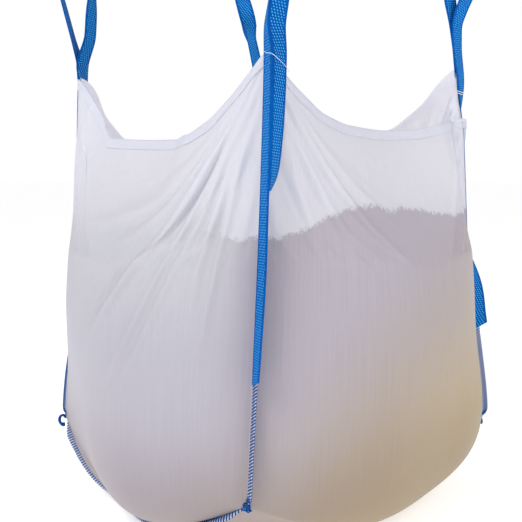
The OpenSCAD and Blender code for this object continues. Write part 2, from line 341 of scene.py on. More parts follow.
def colour(r, g, b):
    """sRGB 0 to 255 as a linear colour."""
    lin = [c / 12.92 if c <= 0.04045 else ((c + 0.055) / 1.055) ** 2.4 for c in (r / 255, g / 255, b / 255)]
    return (*lin, 1.0)


# strength of a painted glow on the cloth's inner faces, standing in for daylight
INNER_GLOW = 0.30       # daylight that comes through the far side of the free cloth


def cloth_material():
    """White woven tape cloth. Where sand lies behind it, it turns grey-mauve, partly from the sand seen
    through it and partly from painted shade; painted warm bounce light turns it tan lower down and to the
    right, painted shade darkens it near the bottom, and a painted glow lights its inner faces.
    """
    n = Nodes("woven_cloth")
    uv = n.add("UVMap", uv_map="UVMap").outputs[0]
    where = n.add("TexCoord").outputs["Object"]
    x, y, _ = n.add("SeparateXYZ", {0: where}).outputs
    fill = n.add("Attribute", attribute_name="sand").outputs["Fac"]
    loose = n.add("Attribute", attribute_name="slack").outputs["Fac"]
    grain = n.noise(where, 90.0, 3.0, 0.7)
    lumps = n.noise(where, 16.0, 2.0)
    ragged = n.math("ADD", n.math("MULTIPLY", grain, 0.03), n.math("MULTIPLY", lumps, 0.03))
    depth = n.math("ADD", fill, n.math("SUBTRACT", ragged, 0.03))
    tight = n.math("SUBTRACT", 1.0, loose)
    # covered: where sand lies behind the cloth. There its colour is partly the sand seen through it and
    # partly painted shade, where the sand stops light coming through from behind.
    covered = n.math("ADD", n.math("MULTIPLY", n.ramp(depth, -0.004, 0.008), tight),
                     n.math("MULTIPLY", n.ramp(depth, -0.14, 0.30), loose))
    streaks = n.noise(n.stretched(uv, 300.0, 5.0), 1.0, 3.0, 0.6)
    white = n.mix(streaks, colour(231, 232, 239), colour(242, 242, 248))
    veiled = n.mix(streaks, colour(165, 162, 174), colour(180, 178, 188))
    mauve = n.mix(streaks, colour(157, 150, 161), colour(172, 165, 175))
    # tan: painted warm bounce light, as if from the ground, stronger towards +x+y and deeper below the sand's
    # edge
    tan = n.mix(streaks, colour(155, 135, 100), colour(167, 148, 114))
    painted_warm_light = n.math("ADD", n.math("MULTIPLY", n.math("ADD", x, y), 0.55), fill)
    below = n.mix(n.math("MULTIPLY", loose, n.ramp(fill, 0.62, 0.28)), mauve, veiled)
    below = n.mix(n.ramp(painted_warm_light, 0.28, 0.98), below, tan)
    # painted shade: darker again near the bottom, where the bag curves under
    below = n.mix(n.math("MULTIPLY", n.ramp(fill, 0.40, 0.68), 0.32), below, colour(114, 96, 86))
    base = n.mix(covered, white, below)
    weave_u = n.add("TexWave", {"Vector": n.stretched(uv, 200.0, 0.0), "Scale": 1.0},
                    wave_profile="SIN").outputs["Fac"]
    weave_v = n.add("TexWave", {"Vector": n.stretched(uv, 0.0, 200.0), "Scale": 1.0},
                    wave_profile="SIN", bands_direction="Y").outputs["Fac"]
    weave = n.math("MULTIPLY", weave_u, weave_v)
    height = n.math("ADD", n.math("MULTIPLY", weave, 0.25), n.math("MULTIPLY", streaks, 0.6))
    fine = n.add("Bump", {"Strength": 0.35, "Distance": 0.0008, "Height": height}).outputs[0]
    crumple = n.math("ABSOLUTE", n.math("SUBTRACT", n.noise(where, 9.0, 3.0, 0.5), 0.5))
    free = n.math("SUBTRACT", 1.0, n.math("MULTIPLY", covered, 0.8))
    bump = n.add("Bump", {"Strength": free, "Distance": 0.010, "Height": crumple, "Normal": fine},
                 invert=True).outputs[0]
    rough = n.math("ADD", n.math("MULTIPLY", streaks, 0.15), 0.42)
    # painted glow: faces turned towards the axis and clear of sand emit their own colour, in place of
    # daylight coming through the far walls
    facing = n.add("VectorMath", {0: n.add("NewGeometry").outputs["Normal"], 1: n.stretched(where, 1, 1, 0)},
                   operation="DOT_PRODUCT").outputs["Value"]
    inside = n.math("MULTIPLY", n.ramp(facing, 0.02, -0.10), n.math("SUBTRACT", 1.0, covered))
    shader = n.add("BsdfPrincipled", {"Base Color": base, "Roughness": rough, "Normal": bump,
                                      "Sheen Weight": 0.1, "Specular IOR Level": 0.35, "Emission Color": base,
                                      "Emission Strength": n.math("MULTIPLY", inside, INNER_GLOW)})
    through = n.add("BsdfTranslucent", {"Color": base, "Normal": bump})
    share = n.math("MULTIPLY", n.math("SUBTRACT", 1.0, covered), 0.55)
    both = n.add("MixShader", {0: share, 1: shader.outputs[0], 2: through.outputs[0]})
    n.put(n.out.inputs["Surface"], both.outputs[0])
    return n.material


def webbing_material():
    """Blue twill webbing, with steep rows of light dots between plain edges."""
    n = Nodes("webbing")
    uv = n.add("UVMap", uv_map="UVMap").outputs[0]
    across, along, _ = n.add("SeparateXYZ", {0: uv}).outputs
    slant = n.math("ADD", n.math("MULTIPLY", across, 2 * math.pi / 0.0078),
                   n.math("MULTIPLY", along, 2 * math.pi / 0.0190))
    row = n.math("SINE", slant)
    dots = n.math("SINE", n.math("MULTIPLY", along, 2 * math.pi / 0.0058))
    spot = n.ramp(n.math("ADD", row, n.math("MULTIPLY", dots, 0.7)), 0.45, 1.15)
    middle = n.ramp(n.math("ABSOLUTE", n.math("SUBTRACT", across, WEB_W / 2)), 0.0195, 0.0165)
    fibre = n.noise(n.stretched(uv, 900.0, 120.0), 1.0, 2.0)
    tone = n.noise(n.add("TexCoord").outputs["Object"], 14.0, 3.0)
    blue = n.mix(fibre, colour(0, 68, 148), colour(0, 98, 180))
    blue = n.mix(n.math("MULTIPLY", n.ramp(tone, 0.35, 0.75), 0.4), blue, colour(0, 60, 132))
    base = n.mix(n.math("MULTIPLY", n.math("MULTIPLY", spot, middle), 0.9), blue, colour(76, 180, 244))
    height = n.math("ADD", n.math("MULTIPLY", row, 0.5), n.math("MULTIPLY", dots, 0.3))
    bump = n.add("Bump", {"Strength": 0.5, "Distance": 0.0006, "Height": height}).outputs[0]
    shader = n.add("BsdfPrincipled", {"Base Color": base, "Roughness": 0.55, "Normal": bump,
                                      "Specular IOR Level": 0.03})
    n.put(n.out.inputs["Surface"], shader.outputs[0])
    return n.material


def thread_material(name, dark, light):
    n = Nodes(name)
    where = n.add("TexCoord").outputs["Object"]
    fibre = n.noise(where, 1400.0, 2.0)
    base = n.mix(fibre, dark, light)
    bump = n.add("Bump", {"Strength": 0.4, "Distance": 0.0003, "Height": fibre}).outputs[0]
    shader = n.add("BsdfPrincipled", {"Base Color": base, "Roughness": 0.55, "Normal": bump,
                                      "Specular IOR Level": 0.08})
    n.put(n.out.inputs["Surface"], shader.outputs[0])
    return n.material


def sand_material():
    n = Nodes("sand")
    where = n.add("TexCoord").outputs["Object"]
    grains = n.add("TexVoronoi", {"Vector": where, "Scale": 420.0}).outputs["Distance"]
    lumps = n.noise(where, 30.0, 6.0, 0.7)
    damp = n.noise(where, 5.0, 3.0)
    dry = n.mix(grains, colour(190, 164, 126), colour(222, 203, 168))
    base = n.mix(n.math("MULTIPLY", n.ramp(damp, 0.35, 0.7), 0.55), dry, colour(150, 124, 90))
    height = n.math("ADD", n.math("MULTIPLY", grains, 0.4), lumps)
    bump = n.add("Bump", {"Strength": 0.8, "Distance": 0.004, "Height": height}).outputs[0]
    shader = n.add("BsdfPrincipled", {"Base Color": base, "Roughness": 0.95, "Normal": bump})
    n.put(n.out.inputs["Surface"], shader.outputs[0])
    return n.material


CLOTH = cloth_material()
WEBBING = webbing_material()
BLUE_THREAD = thread_material("blue_thread", colour(0, 34, 98), colour(4, 104, 184))
WHITE_THREAD = thread_material("white_thread", colour(214, 219, 226), colour(250, 251, 253))
SAND = sand_material()


def dress(obj, material, body, slot, *nodes):
    obj.data.materials.append(material)
    if body:
        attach(obj, body)
    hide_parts(*nodes)
    return obj


# ---- The draped walls ----

COLS = 90               # cells across a wall while it is draped
FREE_V = 0.45           # the cloth below this is held tight by the sand
FINE = 2                # each draped cell is cut into this many
CELL = PANEL_W / COLS

# How far this bag's hems hang below the top corners, from one corner (-1) to the next (1)
HEM_HANG = {
    FRONT: ((-1, 0), (-0.8, 0.06), (-0.58, 0.163), (0.38, 0.169), (0.6, 0.137), (0.8, 0.082),
            (0.95, 0.026), (1, 0)),
    RIGHT: ((-1, 0), (-0.8, 0.068), (-0.6, 0.123), (-0.4, 0.144), (0, 0.153), (0.4, 0.147),
            (0.8, 0.121), (1, 0.11)),
    REAR: ((-1, -0.025), (-0.9, 0), (-0.7, 0.06), (-0.4, 0.125), (0, 0.165), (0.5, 0.13), (1, 0)),
    LEFT: ((-1, 0), (-0.6, 0.11), (0, 0.172), (0.55, 0.165), (0.75, 0.1), (0.86, 0.03), (0.95, 0), (1, 0)),
}
# Height of the sand's edge around the bag, from -180 to 180 degrees
SAND_LEVEL = ((-180, 0.745), (-60, 0.747), (-45, 0.735), (-22, 0.808), (-10, 0.80), (4, 0.786), (17, 0.772),
              (45, 0.778), (90, 0.75), (180, 0.745))


def drape(start, flat, held, frames=36):
    """Lets a closed ring of cloth hang from its flat pattern, pinned by the weights in held."""
    m, n = start.shape[:2]
    cloth = mesh_object("drape", start, grid_faces(m, n, closed=True))
    cloth.shape_key_add(name="Start")
    pattern = cloth.shape_key_add(name="Pattern")
    pattern.data.foreach_set("co", flat.astype(np.float32).ravel())
    pins = cloth.vertex_groups.new(name="Held")
    for k, w in enumerate(held.ravel()):
        if w > 0:
            pins.add([k], float(w), "REPLACE")
    mod = cloth.modifiers.new("Cloth", "CLOTH")
    cs = mod.settings
    cs.quality = 6
    cs.mass = 0.05
    cs.tension_stiffness = 40
    cs.compression_stiffness = 8
    cs.shear_stiffness = 4
    cs.bending_stiffness = 0.15
    cs.tension_damping = 5
    cs.compression_damping = 5
    cs.shear_damping = 5
    cs.air_damping = 1.2
    cs.vertex_group_mass = pins.name
    cs.pin_stiffness = 5
    cs.rest_shape_key = pattern
    mod.collision_settings.use_collision = False
    mod.collision_settings.use_self_collision = False
    mod.point_cache.frame_end = frames
    scene = bpy.context.scene
    for f in range(1, frames + 1):
        scene.frame_set(f)
    moved = cloth.evaluated_get(bpy.context.evaluated_depsgraph_get())
    co = np.zeros(m * n * 3, np.float32)
    moved.data.vertices.foreach_get("co", co)
    bpy.data.objects.remove(cloth)
    scene.frame_set(1)
    return co.reshape(m, n, 3).astype(float)


def draped_ring(v):
    """The four walls, at heights v, as one ring of cloth. It is kept to the corner seams and to the sand."""
    s = -1 + 2 * np.arange(COLS) / COLS
    start, flat = [], []
    for side in (RIGHT, REAR, LEFT, FRONT):
        start.append(wall_points(side, s[None, :], v[:, None]))
        out, along = radial(side), radial(side + 90)
        plan = out * PANEL_W / 2 + s[:, None] * along * PANEL_W / 2
        flat.append(plan[None] + np.array([0, 0, 1.0]) * (v * SEAM_H)[:, None, None])
    start, flat = np.concatenate(start, 1), np.concatenate(flat, 1)
    held = np.clip((FILL_Z - 0.05 - start[..., 2]) / 0.12, 0, 1)
    held[:, ::COLS] = 1.0
    return drape(start, flat, held)


def finer(p, times, axis):
    """Catmull-Rom interpolation of a grid of points along an axis."""
    p = np.moveaxis(p, axis, 0)
    ends = np.concatenate([2 * p[:1] - p[1:2], p, 2 * p[-1:] - p[-2:-1]])
    a, b, c, d = ends[:-3], ends[1:-2], ends[2:-1], ends[3:]
    out = []
    for k in range(times):
        t = k / times
        curve = 2 * b + (c - a) * t + (2 * a - 5 * b + 4 * c - d) * t * t + (3 * b - a - 3 * c + d) * t ** 3
        out.append(curve / 2)
    mixed = np.stack(out, 1).reshape(-1, *p.shape[1:])
    return np.moveaxis(np.concatenate([mixed, p[-1:]]), 0, axis)


def slid(grid, v, down):
    """Slides the upper half of each column down along itself, by down metres at the hem."""
    at = v[:, None] - (down / SEAM_H)[None, :] * ease(v, 0.45, 1)[:, None]
    out = np.empty_like(grid)
    for j in range(grid.shape[1]):
        for k in range(3):
            out[:, j, k] = np.interp(at[:, j], v, grid[:, j, k])
        over = np.clip(at[:, j] - 1, 0, None) / (v[-1] - v[-2])
        out[:, j] += over[:, None] * (grid[-1, j] - grid[-2, j])
    return out


def rehung(grid, side, v, s):
    """Brings a wall's hem to the height that this bag's hem hangs at."""
    if side not in HEM_HANG:
        return grid
    want = TOP_Z - glide(s, HEM_HANG[side], 0.04)
    have = grid[-1, :, 2]
    return slid(grid, v, have - want)


def fan(side_s, v, end, count, angles, depth, reach, seed):
    """Heights of folds that fan out from a wall's top corner. end is -1 or 1; angles are from the seam."""
    rng = np.random.default_rng(seed)
    across = PANEL_W / 2 * (1 - end * side_s)[None, :]
    down = SEAM_H * (1 - v)[:, None] + 0.004
    rho = np.hypot(across, down)
    phi = np.degrees(np.arctan2(across, down))
    height = np.zeros_like(rho)
    for k in range(count):
        middle = angles[0] + (angles[1] - angles[0]) * (k + rng.uniform(0.25, 0.75)) / count
        bend = rng.uniform(-9, 9)
        first = rng.uniform(0.03, 0.12)
        last = reach * rng.uniform(0.65, 1.0)
        width = rng.uniform(0.008, 0.014) + 0.012 * rho
        off = np.radians(phi - middle - bend * rho) * rho / width
        shape = np.exp(-off * off) - 0.55 * np.exp(-(off - 1.7) ** 2)
        shown = ease(rho, first, first + 0.15) * (1 - ease(rho, last - 0.3, last))
        height += depth * rng.uniform(0.6, 1.2) * shape * shown
    return height


def folded(grid, side, v, s):
    """Adds the folds that are finer than the draped cells."""
    h = np.zeros(grid.shape[:2])
    if side == FRONT:
        h += fan(s, v, 1, 9, (14, 74), 0.0075, 0.85, 3)
        h += fan(s, v, -1, 4, (6, 34), 0.004, 0.5, 8)
        inner = ease(s, -0.80, -0.70)[None, :] * (1 - ease(s, 0.1, 0.36))[None, :]
        h -= 0.022 * inner * ease(v, 0.74, 0.98)[:, None]
    if side == RIGHT:
        h += fan(s, v, -1, 8, (14, 70), 0.0045, 0.6, 5)
        recess = np.clip((s - 0.62) / 0.3, 0, 1) * (1 - ease(s, 0.9, 1))
        h -= 0.030 * recess[None, :] * ease(v, 0.58, 0.75)[:, None]
    if side == REAR:
        recess = ease(s, -1, -0.94) * (1 - ease(s, -0.88, -0.62))
        h -= 0.030 * recess[None, :] * (ease(v, 0.44, 0.58) * (1 - ease(v, 0.86, 0.97)))[:, None]
    if side in (LEFT, REAR):
        h += fan(s, v, 1, 7, (14, 70), 0.005, 0.6, 11 + side)
        h += fan(s, v, -1, 7, (14, 70), 0.005, 0.6, 12 + side)
    return grid + grid_normals(grid) * h[..., None]


ROWS_FREE = round((1 - FREE_V) * SEAM_H / CELL)
ROWS_TIGHT = round(FREE_V * SEAM_H / CELL)
V_LOW = FREE_V * (np.arange(ROWS_TIGHT) / ROWS_TIGHT) ** 1.15
V_HIGH = np.linspace(FREE_V, 1, ROWS_FREE + 1)
S = np.linspace(-1, 1, COLS + 1)
S_FINE = np.linspace(-1, 1, COLS * FINE + 1)
V_FINE = finer(np.concatenate([V_LOW, V_HIGH])[:, None], FINE, 0)[:, 0]
ring = draped_ring(V_HIGH)
walls, seams = {}, {}
for k, side in enumerate((RIGHT, REAR, LEFT, FRONT)):
    low = wall_points(side, S[None, :], V_LOW[:, None])
    high = ring[:, np.arange(k * COLS, (k + 1) * COLS + 1) % (4 * COLS)]
    grid = finer(finer(np.concatenate([low, high]), FINE, 0), FINE, 1)
    seams[side + 45] = hung(grid[:, -1])
    grid = folded(rehung(grid, side, V_FINE, S_FINE), side, V_FINE, S_FINE)
    walls[side] = hung(grid)


# ---- Corner seams ----

CLOTH_T = 0.0007
HEM_W = 0.025
HEM_THREADS = (0.013, 0.021)
SKIRT_W = 0.019
SKIRT_DIP = math.radians(20)
SEAM_OF = {"front_right": 315, "rear_right": 45, "rear_left": 135, "front_left": 225}


def fin_lay(place, v):
    return glide(v, LAY[place], 0.05)


def seam_at(place, v):
    line = seams[SEAM_OF[place]]
    return np.stack([np.interp(v, V_FINE, line[:, k]) for k in range(3)], -1)


def fin_dir(place, v):
    return radial(CORNERS[place], fin_lay(place, v))


def fin_side(place, v):
    """Direction off the fin, counterclockwise."""
    return radial(CORNERS[place] + 90, fin_lay(place, v))


def fin_width(v):
    return 0.0015 + (FIN_W - 0.0015) * ease(v, 0, 0.03)


FIN_SHARES = np.array([0.15, 0.4, 0.7, 1.0])


def with_fins(grid, first, last):
    """Adds the fins' columns to both sides of a wall. first and last are the corners at s = -1 and s = 1."""
    left, right = [], []
    for place, sign, into in ((first, 1, left), (last, -1, right)):
        line = grid[:, 0] if sign > 0 else grid[:, -1]
        out, off = fin_dir(place, V_FINE), fin_side(place, V_FINE) * sign * CLOTH_T
        for share in FIN_SHARES:
            into.append(line + out * (fin_width(V_FINE) * share)[:, None] + off)
    return np.concatenate([np.stack(left[::-1], 1), grid, np.stack(right, 1)], 1)


def below_hem(grid, distance, lift):
    """The row of points a distance down the cloth from its top edge, lifted off its outer face."""
    normal = grid_normals(grid)
    out = []
    for j in range(grid.shape[1]):
        column, face = grid[::-1, j][:14], normal[::-1, j][:14]
        point, way = sampled(lengths(column), distance, column, face)
        out.append(point + unit(way) * lift)
    return np.stack(out)


def with_hem(grid):
    """Folds the top edge outwards and down into a hem."""
    rows = [below_hem(grid, 0.0, 0.0006) + [0, 0, 0.001], below_hem(grid, 0.0, 0.0018) + [0, 0, 0.0007]]
    for distance in (0.003, 0.008, *HEM_THREADS, 0.024):
        thread = distance in HEM_THREADS
        rows.append(below_hem(grid, distance, 0.0010 if thread else 0.0018))
    rows.append(below_hem(grid, HEM_W, 0.0010))
    return np.concatenate([grid, np.stack(rows)])


def sand_level(a):
    """Height of the sand's edge at angles in degrees, in metres."""
    ripple = 0.004 * np.sin(np.radians(a) * 11 + 0.4) + 0.003 * np.sin(np.radians(a) * 23 + 1.9)
    return glide(a, SAND_LEVEL, 7) + ripple


def slack(points):
    """0 where the cloth lies tight on the sand below the fill line, 1 where it hangs clear of it."""
    a = np.degrees(np.arctan2(points[..., 1], points[..., 0]))
    away = (a + 180) % 360 - 180
    return ease(-away, 46, 64) * ease(away, -179, -120)


def cloth_piece(name, grid, flat_u, flat_v, *nodes):
    uv = np.stack(np.broadcast_arrays(flat_u[None, :], flat_v[:, None]), -1)
    obj = mesh_object(name, grid, grid_faces(*grid.shape[:2]), uv)
    a = np.degrees(np.arctan2(grid[..., 1], grid[..., 0]))
    behind = sand_level(a) - grid[..., 2]
    fins = len(FIN_SHARES)
    behind[:, :fins] = behind[:, -fins:] = -0.2
    for label, value in (("sand", behind), ("slack", slack(grid))):
        layer = obj.data.attributes.new(label, "FLOAT", "POINT")
        layer.data.foreach_set("value", value.astype(np.float32).ravel())
    thicken(obj, CLOTH_T)
    return dress(obj, CLOTH, "bag", "cloth", *nodes)


def wall_u():
    half, fins = PANEL_W / 2, FIN_SHARES * FIN_W
    return np.concatenate([-half - fins[::-1], S_FINE * half, half + fins])


def sewn_panel(side, first, last, node):
    grid = with_hem(with_fins(walls[side], first, last))
    extra = len(grid) - len(V_FINE)
    flat_v = np.concatenate([V_FINE * SEAM_H, SEAM_H + 0.005 * np.arange(1, extra + 1)])
    cloth_piece(f"{node}_cloth", grid, wall_u(), flat_v, node)


def skirt(p, q, share=1.0):
    """Points of the floor's edge beyond a bottom seam, and its direction outwards."""
    at = hung(floor_points(p, np.full_like(p, q)))
    out = unit(at * [1, 1, 0]) * math.cos(SKIRT_DIP) - np.array([0, 0, math.sin(SKIRT_DIP)])
    return at + out * (SKIRT_W * share * ease(1 - abs(p), 0, 0.12))[:, None], out


def u_panel():
    right = with_hem(with_fins(walls[RIGHT], "front_right", "rear_right"))
    left = with_hem(with_fins(walls[LEFT], "rear_left", "front_left"))
    p = S_FINE[1:-1]
    floor = hung(floor_points(p[:, None], S_FINE[None, :]))
    low = [skirt(p, -1, share)[0] for share in (1.0, 0.75, 0.5, 0.25)]
    high = [skirt(p, 1, share)[0] for share in (0.25, 0.5, 0.75, 1.0)]
    floor = np.concatenate([np.stack(low, 1), floor, np.stack(high, 1)], 1)
    grid = np.concatenate([left[::-1, ::-1], floor, right])
    flat_v = np.arange(len(grid)) * CELL / FINE
    cloth_piece("u_panel_cloth", grid, wall_u(), flat_v, "u_panel")


u_panel()
sewn_panel(FRONT, "front_left", "front_right", "front_panel")
sewn_panel(REAR, "rear_right", "rear_left", "rear_panel")

for side, name in ((FRONT, "front"), (RIGHT, "right"), (REAR, "rear"), (LEFT, "left")):
    rows = []
    for distance in HEM_THREADS:
        path = below_hem(walls[side], distance, 0.0014)
        rows.append(stitches(path, unit(path * [1, 1, 0]), 0.005, 0.0022, 0.00045))
    dress(mesh_object(f"hem_thread_{name}_stitches", *joined(rows)), WHITE_THREAD, "bag", "white_thread",
          f"hem_thread_{name}")


# ---- Sand ----

def sand_edge(share):
    """The sand's outline inside the walls, at a share of its height from the floor's edge to its top edge."""
    outline = []
    for side in (RIGHT, REAR, LEFT, FRONT):
        for column in np.moveaxis(walls[side][:, :-1:3], 1, 0):
            x, y, z = column.T
            low, a = z[0] + 0.004, np.degrees(np.arctan2(np.interp(FILL_Z, z, y), np.interp(FILL_Z, z, x)))
            at = low + share * (sand_level(a) - low)
            outline.append((np.interp(at, z, x), np.interp(at, z, y), at))
    outline = np.array(outline)
    r = np.hypot(outline[:, 0], outline[:, 1])
    inner = np.min([np.roll(r, k) for k in (-2, -1, 0, 1, 2)], axis=0)
    inner = np.mean([np.roll(inner, k) for k in (-1, 0, 1)], axis=0) - 0.004
    return outline * np.stack([inner / r, inner / r, np.ones_like(r)], -1)


def sand_heap():
    profile = [sand_edge(share) for share in np.linspace(0, 1, 24) ** 1.4]
    edge = profile[-1]
    rings = 70
    rng = np.random.default_rng(4)
    waves = rng.normal(0, 1, (40, 2)) * np.geomspace(6, 60, 40)[:, None]
    phases = rng.uniform(0, 2 * np.pi, 40)
    for k in range(rings - 1, 0, -1):
        m = k / rings
        flat = edge[:, :2] * m
        bumps = np.sum(0.018 / np.linalg.norm(waves, axis=1) * np.sin(flat @ waves.T + phases), axis=1)
        z = edge[:, 2] * m ** 2 + (FILL_Z + HEAP_H) * (1 - m ** 2) + bumps * (1 - m ** 6)
        profile.append(np.stack([flat[:, 0], flat[:, 1], z], -1))
    points = np.stack(profile)
    faces = grid_faces(*points.shape[:2], closed=True)
    n = points.shape[1]
    faces.append(tuple(range(n))[::-1])
    faces.append(tuple((len(points) - 1) * n + k for k in range(n)))
    dress(mesh_object("sand_heap", points, faces), SAND, "bag", "sand", "sand_fill")


sand_heap()


# ---- Webbing ----

OFF = 0.0014 + WEB_T / 2 + 0.0003       # from a fin's middle to the middle of a leg
STEP = 0.006                            # between rows of a strip

# How each loop's two plies go up to their bar: height over the hem, then distance from the axis, distance
# counterclockwise and turn, of the long ply and of the short ply
PLIES = {
    "front_right": ((0.05, (0.548, -0.009, 10), (0.555, 0.0125, -50)),
                    (0.12, (0.548, 0.0, 0), (0.554, 0.021, -58))),
    "rear_right": ((0.07, (0.5095, 0.0, 50), (0.5075, 0.0, 54)),
                   (0.145, (0.505, 0.0, 43), (0.498, 0.0, 46)),
                   (0.21, (0.528, 0.0, 36), (0.485, 0.0, 37))),
    "rear_left": ((0.09, (0.5503, 0.017, 42), (0.5477, 0.017, 44)),
                  (0.20, (0.5500, 0.010, 36), (0.5480, 0.010, 38))),
    "front_left": ((0.04, (0.5150, 0.0, -120), (0.5190, 0.0, -102)),
                   (0.105, (0.491, 0.0, -115), (0.537, 0.0, -93))),
}
# Each loop's bar: distance from the axis, distance counterclockwise and turn
BARS = {"front_right": (0.549, 0.013, -90), "rear_right": (0.532, 0.0, 90), "rear_left": (0.549, 0.004, 90),
        "front_left": (0.529, 0.0, -90)}
# Turn of a short leg that has come away from its fin, at heights up the seam
FLARED = {"front_right": ((0.7, -2), (0.71, -12), (0.735, -22), (0.78, -28), (0.85, -34), (0.93, -37),
                          (1, -38))}


def world(place, r, t, h):
    """A point by its distances from the axis and counterclockwise of a corner, and height over the hem."""
    r, t, h = np.broadcast_arrays(*(np.asarray(x, float) for x in (r, t, h)))
    lean = LOOP_LEAN.get(place, 0.0)
    rise = np.clip(h - HINGE_GAP, 0, None)
    t, h = t + rise * math.sin(lean), h - rise * (1 - math.cos(lean))
    return radial(CORNERS[place]) * r[..., None] + radial(CORNERS[place] + 90) * t[..., None] \
        + np.array([0, 0, 1.0]) * (TOP_Z + h)[..., None]


def half_strip(place, kind):
    """A loop's webbing from the lower end of a leg to the top of the bar: middles and turns."""
    side, length = (-1, LONG_LEG) if kind == "long" else (1, SHORT_LEG)
    v = np.linspace(1 - length / SEAM_H, 1, round(length / STEP))
    lay = fin_lay(place, v)
    turn = glide(v, FLARED[place], 0.01) if kind == "short" and place in FLARED else lay
    corner = CORNERS[place]
    off = OFF * side
    if kind == "short":
        off = OFF - 2 * OFF * ease(abs(turn - lay), 0, 25)
    edge = seam_at(place, v) + radial(corner, lay) * (LEG_IN + WEB_W) \
        + fin_side(place, v) * np.reshape(off, (-1, 1))
    leg = edge - radial(corner, turn) * WEB_W / 2
    stations = [(part[0], *part[2 if kind == "short" else 1]) for part in PLIES[place]]
    h, r, t, twist = (np.array(x) for x in zip(*stations))
    bar_r, bar_t, end = BARS[place]
    outward = 1 if (kind == "short") == (end < 0) else -1
    x, z = (r[-1] - bar_r) * outward, h[-1] - BAR_RISE
    meet = math.atan2(z, x) + math.acos(BAR_R / math.hypot(x, z))
    around = np.linspace(meet, math.pi / 2, 14)
    share = np.linspace(0, 1, 12)[1:-1]
    ends = bar_r + outward * BAR_R * np.cos(around), np.full(14, bar_t), BAR_RISE + BAR_R * np.sin(around)
    r, t, h = (np.concatenate([a, a[-1] + (b[0] - a[-1]) * share, b]) for a, b in zip((r, t, h), ends))
    last_twist = twist[-1] + (end - twist[-1]) * ease(share, 0.3, 1)
    turns = np.concatenate([turn, twist, last_twist, np.full(14, end)])
    return np.concatenate([leg, world(place, r, t, h)]), turns, lengths(leg)[-1]


def smoothed(x, times):
    for _ in range(times):
        x = np.concatenate([x[:1], (x[:-2] + 2 * x[1:-1] + x[2:]) / 4, x[-1:]])
    return x


def strip(place):
    """A loop's whole strip of webbing: middles, widthwise directions, outer faces, and where the legs end."""
    path, turns, long_end = half_strip(place, "long")
    back, back_turns, short_end = half_strip(place, "short")
    path = np.concatenate([path, back[-2::-1]])
    turns = np.concatenate([turns, back_turns[-2::-1]])
    along = lengths(path)
    count = round(along[-1] / STEP)
    at = np.linspace(0, along[-1], count + 1)
    middle, = sampled(along, at, path)
    middle = smoothed(middle, 8)
    turn = smoothed(np.interp(at, along, turns), 8)
    tangent = unit(np.gradient(middle, axis=0))
    across = radial(CORNERS[place], turn)
    across = unit(across - tangent * np.sum(across * tangent, axis=1)[:, None])
    face = np.cross(across, tangent)
    first = round(long_end / along[-1] * count)
    last = round((1 - short_end / along[-1]) * count)
    return middle, across, face, first, last


# Half of the webbing's outline, as shares of its width and thickness
OUTLINE = ((-0.5, 0.0), (-0.49, 0.36), (-0.46, 0.5), (-0.2, 0.5), (0.2, 0.5), (0.46, 0.5), (0.49, 0.36))


def webbing(rows, low, high, slant=0.0, ends=()):
    """Part of a strip, from row low to row high. Its lower end can be cut at a slant. ends are closed."""
    middle, across, face = (x[low:high + 1] for x in rows[:3])
    shape = np.array([*OUTLINE, *((-x, -y) for x, y in OUTLINE)])
    points = middle[:, None] + across[:, None] * shape[None, :, :1] * WEB_W
    points = points + face[:, None] * shape[None, :, 1:] * WEB_T
    along = np.arange(low, high + 1) * STEP
    uv = np.stack(np.broadcast_arrays((shape[None, :, 0] + 0.5) * WEB_W, along[:, None]), -1)
    if slant:
        fade = (1 - ease(np.arange(len(middle)), 0, 8)) * slant
        points[..., 2] += fade[:, None] * shape[None, :, 0] * WEB_W
    k = len(shape)
    faces = grid_faces(len(middle), k, closed=True)
    if low in ends:
        faces.append(tuple(range(k))[::-1])
    if high in ends:
        faces.append(tuple((len(middle) - 1) * k + j for j in range(k)))
    return points.reshape(-1, 3), faces, uv.reshape(-1, 2)


def webbing_object(name, parts):
    points, faces = joined([(p, f) for p, f, _ in parts])
    obj = mesh_object(name, points, faces, np.concatenate([uv for _, _, uv in parts]))
    obj.data.materials.append(WEBBING)
    return obj


def seams_on(rows, low, high, inset=0.007):
    """Two rows of stitches along a part of a strip, near its edges, on its outer face."""
    middle, across, face = (x[low:high + 1] for x in rows[:3])
    parts = []
    for sign in (-1, 1):
        path = middle + across * sign * (WEB_W / 2 - inset) + face * (WEB_T / 2 + 0.0001)
        parts.append(stitches(path, face, 0.006, 0.003, 0.0004))
    return parts


NECK_ROWS = 10          # of a neck, over the hem


